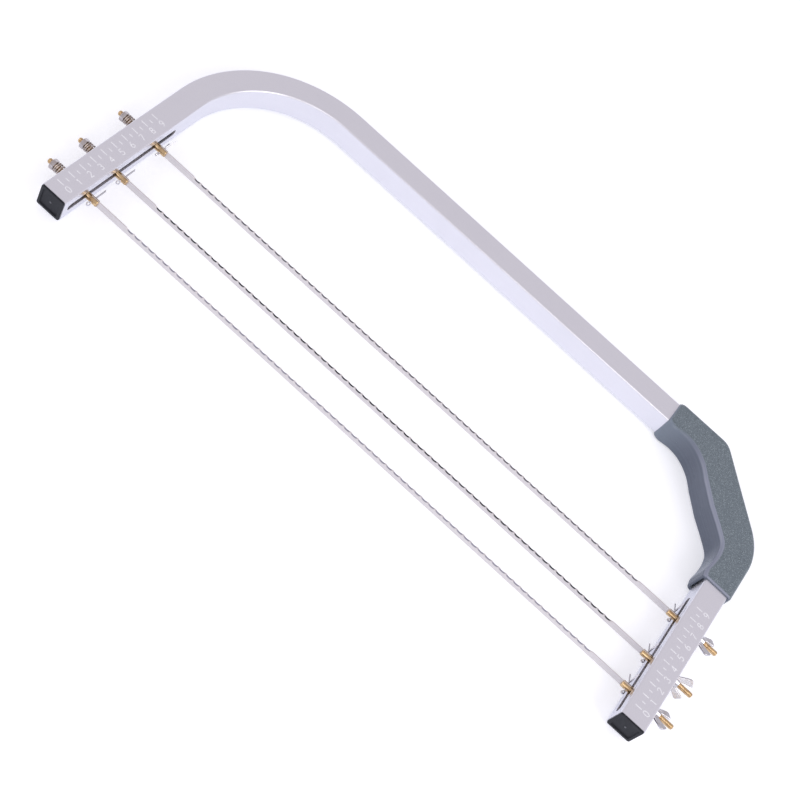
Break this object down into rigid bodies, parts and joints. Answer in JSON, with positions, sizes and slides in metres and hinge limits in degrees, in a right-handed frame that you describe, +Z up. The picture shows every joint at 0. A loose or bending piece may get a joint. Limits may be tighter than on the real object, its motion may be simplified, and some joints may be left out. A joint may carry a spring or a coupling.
{
  "type": "cake leveler",
  "caption": "Bow-shaped cake leveler: square-tube frame with a moulded corner grip, height scales on its legs, and serrated blades held in slots by sprung studs and wing nuts.",
  "frame": {"origin": "on the floor under the tool lying on its back, midway between the legs and midway between the feet and the top bar", "axes": "+X along the blades towards the leg that carries the grip, +Y from the feet to the top bar, +Z up through the numbered front face"},
  "size_m": [0.5506, 0.2424, 0.024],
  "materials": {
    "bow_metal": "satin, fine-grained",
    "cap_plastic": "matt moulded",
    "grip_plastic": "fine textured moulding",
    "screw_steel": "zinc plated",
    "blade_steel": "rolled, ground edge",
    "stud_brass": "turned",
    "pin_steel": "drawn wire",
    "spring_steel": "oiled wire",
    "hex_nut_metal": "nickel plated",
    "wing_nut_metal": "zinc plated, pressed"
  },
  "bodies": {
    "root": {"bow_tube": "bow_metal", "left_end_cap": "cap_plastic", "right_end_cap": "cap_plastic", "front_grip_shell": "grip_plastic", "rear_grip_shell": "grip_plastic", "grip_screws": "screw_steel"},
    "blade_carriage_1": {"spring_1": "spring_steel"},
    "blade_set_1": {"blade_1": "blade_steel", "left_stud_1": "stud_brass", "right_stud_1": "stud_brass", "left_split_pin_1": "pin_steel", "right_split_pin_1": "pin_steel", "hex_nut_1": "hex_nut_metal"},
    "tension_nut_1": {"wing_nut_1": "wing_nut_metal"},
    "blade_carriage_2": {"spring_2": "spring_steel"},
    "blade_set_2": {"blade_2": "blade_steel", "left_stud_2": "stud_brass", "right_stud_2": "stud_brass", "left_split_pin_2": "pin_steel", "right_split_pin_2": "pin_steel", "hex_nut_2": "hex_nut_metal"},
    "tension_nut_2": {"wing_nut_2": "wing_nut_metal"},
    "blade_carriage_3": {"spring_3": "spring_steel"},
    "blade_set_3": {"blade_3": "blade_steel", "left_stud_3": "stud_brass", "right_stud_3": "stud_brass", "left_split_pin_3": "pin_steel", "right_split_pin_3": "pin_steel", "hex_nut_3": "hex_nut_metal"},
    "tension_nut_3": {"wing_nut_3": "wing_nut_metal"}
  },
  "joints": [
    {"name": "blade_1_height", "type": "slide", "parent": "root", "child": "blade_carriage_1", "axis": [0, 1, 0], "range_m": [-0.016, 0.002]},
    {"name": "blade_1_tension", "type": "slide", "parent": "blade_carriage_1", "child": "blade_set_1", "axis": [1, 0, 0], "range_m": [-0.0014, 0.0007], "deforming": ["spring_1"]},
    {"name": "wing_nut_1_turn", "type": "hinge", "parent": "blade_carriage_1", "child": "tension_nut_1", "pos_m": [0.26, -0.09497, 0.012], "axis": [-1, 0, 0], "range_deg": [-720, 360]},
    {"name": "blade_2_height", "type": "slide", "parent": "root", "child": "blade_carriage_2", "axis": [0, 1, 0], "range_m": [-0.0045, 0.0135]},
    {"name": "blade_2_tension", "type": "slide", "parent": "blade_carriage_2", "child": "blade_set_2", "axis": [1, 0, 0], "range_m": [-0.0014, 0.0007], "deforming": ["spring_2"]},
    {"name": "wing_nut_2_turn", "type": "hinge", "parent": "blade_carriage_2", "child": "tension_nut_2", "pos_m": [0.26, -0.06549, 0.012], "axis": [-1, 0, 0], "range_deg": [-720, 360]},
    {"name": "blade_3_height", "type": "slide", "parent": "root", "child": "blade_carriage_3", "axis": [0, 1, 0], "range_m": [-0.004, 0.018]},
    {"name": "blade_3_tension", "type": "slide", "parent": "blade_carriage_3", "child": "blade_set_3", "axis": [1, 0, 0], "range_m": [-0.0014, 0.0007], "deforming": ["spring_3"]},
    {"name": "wing_nut_3_turn", "type": "hinge", "parent": "blade_carriage_3", "child": "tension_nut_3", "pos_m": [0.26, -0.02501, 0.012], "axis": [-1, 0, 0], "range_deg": [-720, 360]}
  ],
  "couplings": [
    {"joint": "wing_nut_1_turn", "follows": "blade_1_tension", "rad_per_m": 8976},
    {"joint": "wing_nut_2_turn", "follows": "blade_2_tension", "rad_per_m": 8976},
    {"joint": "wing_nut_3_turn", "follows": "blade_3_tension", "rad_per_m": 8976}
  ]
}
